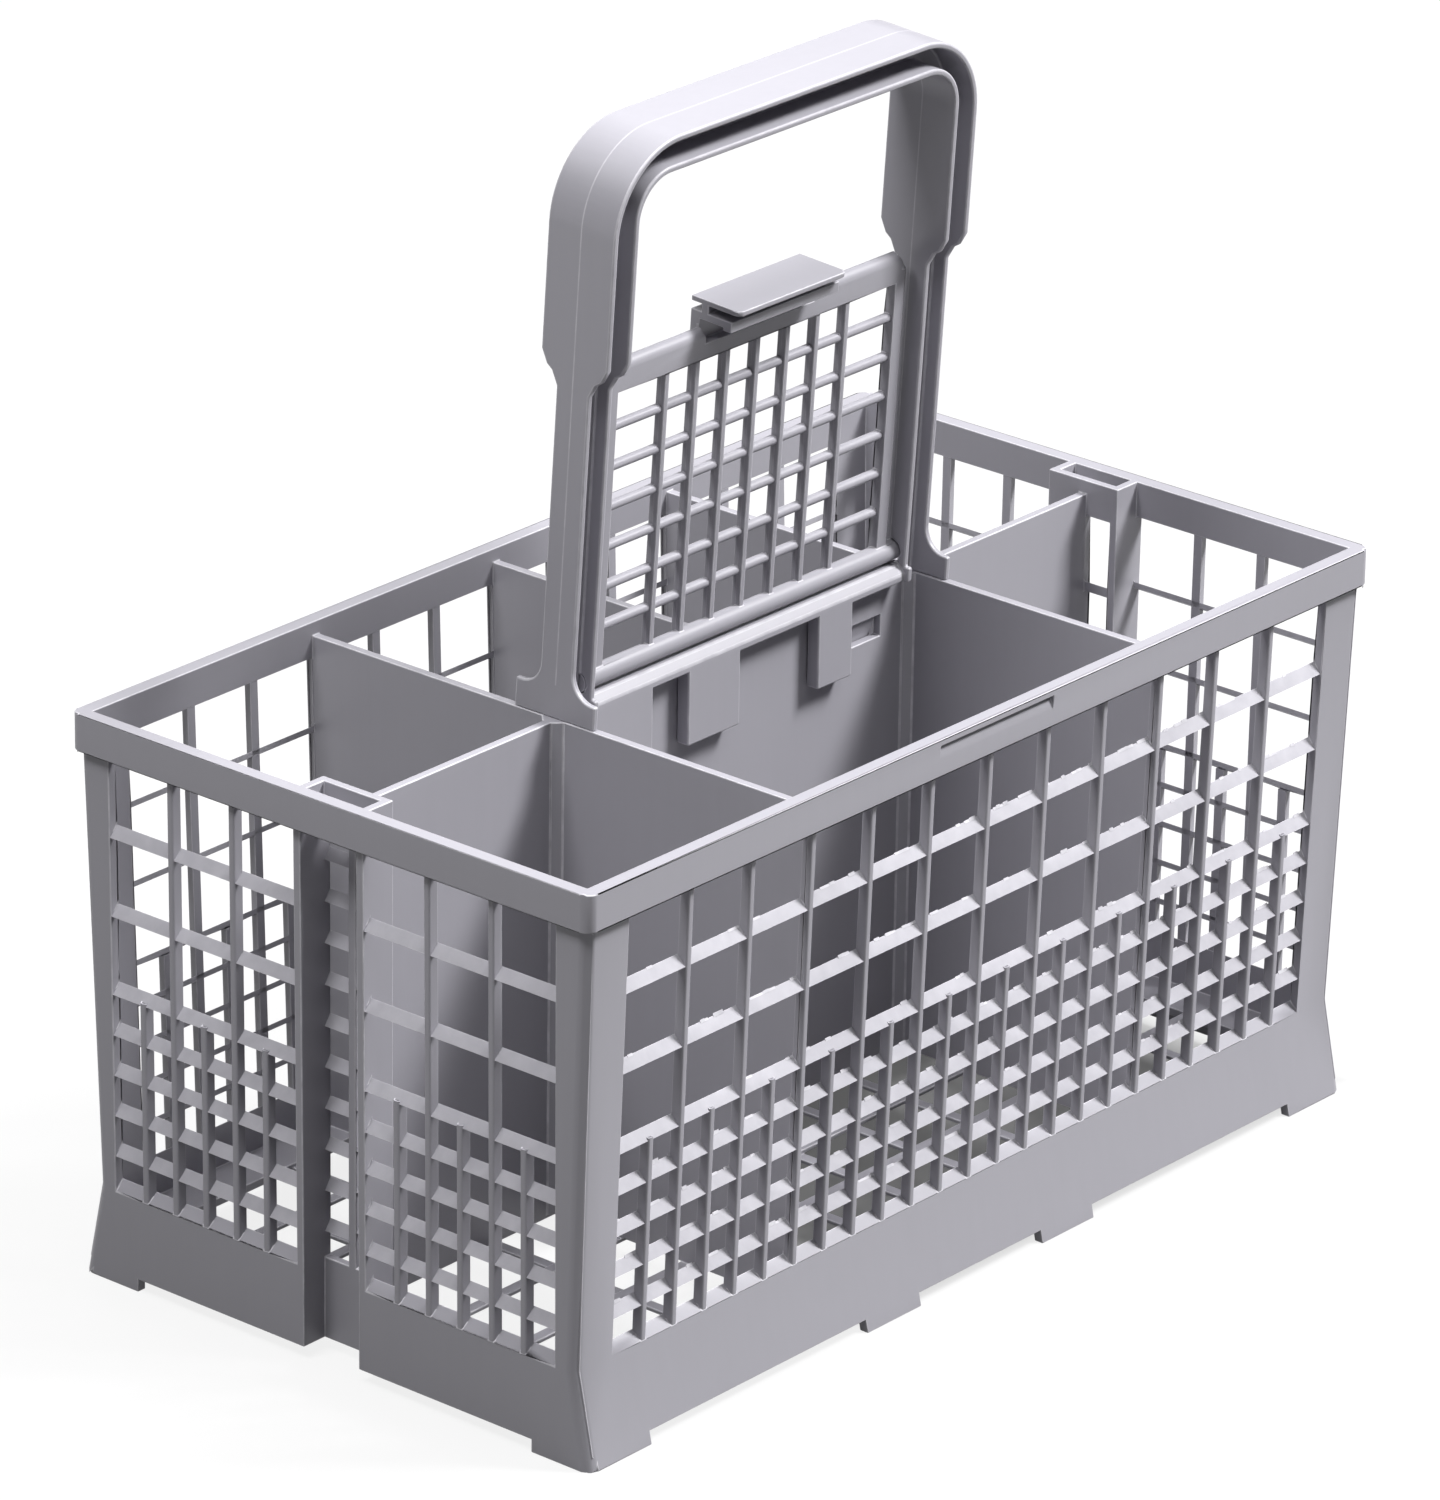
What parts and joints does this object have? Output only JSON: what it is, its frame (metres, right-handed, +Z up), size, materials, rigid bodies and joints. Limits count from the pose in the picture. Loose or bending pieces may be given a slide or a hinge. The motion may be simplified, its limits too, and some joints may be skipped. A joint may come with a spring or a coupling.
{
  "type": "dishwasher cutlery basket",
  "caption": "Open-work plastic cutlery basket with upright dividers, recessed end channels, a clip-on carrying handle and a small hinged grille lid that folds over one compartment.",
  "frame": {"origin": "centre of the footprint at the height the feet stand on", "axes": "+X along the length, -Y towards the side that the lid folds over, +Z up"},
  "size_m": [0.24, 0.1334, 0.2368],
  "materials": {
    "grey_plastic": "satin moulded polypropylene"
  },
  "bodies": {
    "basket": {"basket": "grey_plastic", "handle": "grey_plastic"},
    "lid": {"lid": "grey_plastic"}
  },
  "joints": [
    {"name": "lid_hinge", "type": "hinge", "parent": "basket", "child": "lid", "pos_m": [0, -0.00055, 0.12318], "axis": [1, 0, 0], "range_deg": [0, 86.6]}
  ]
}
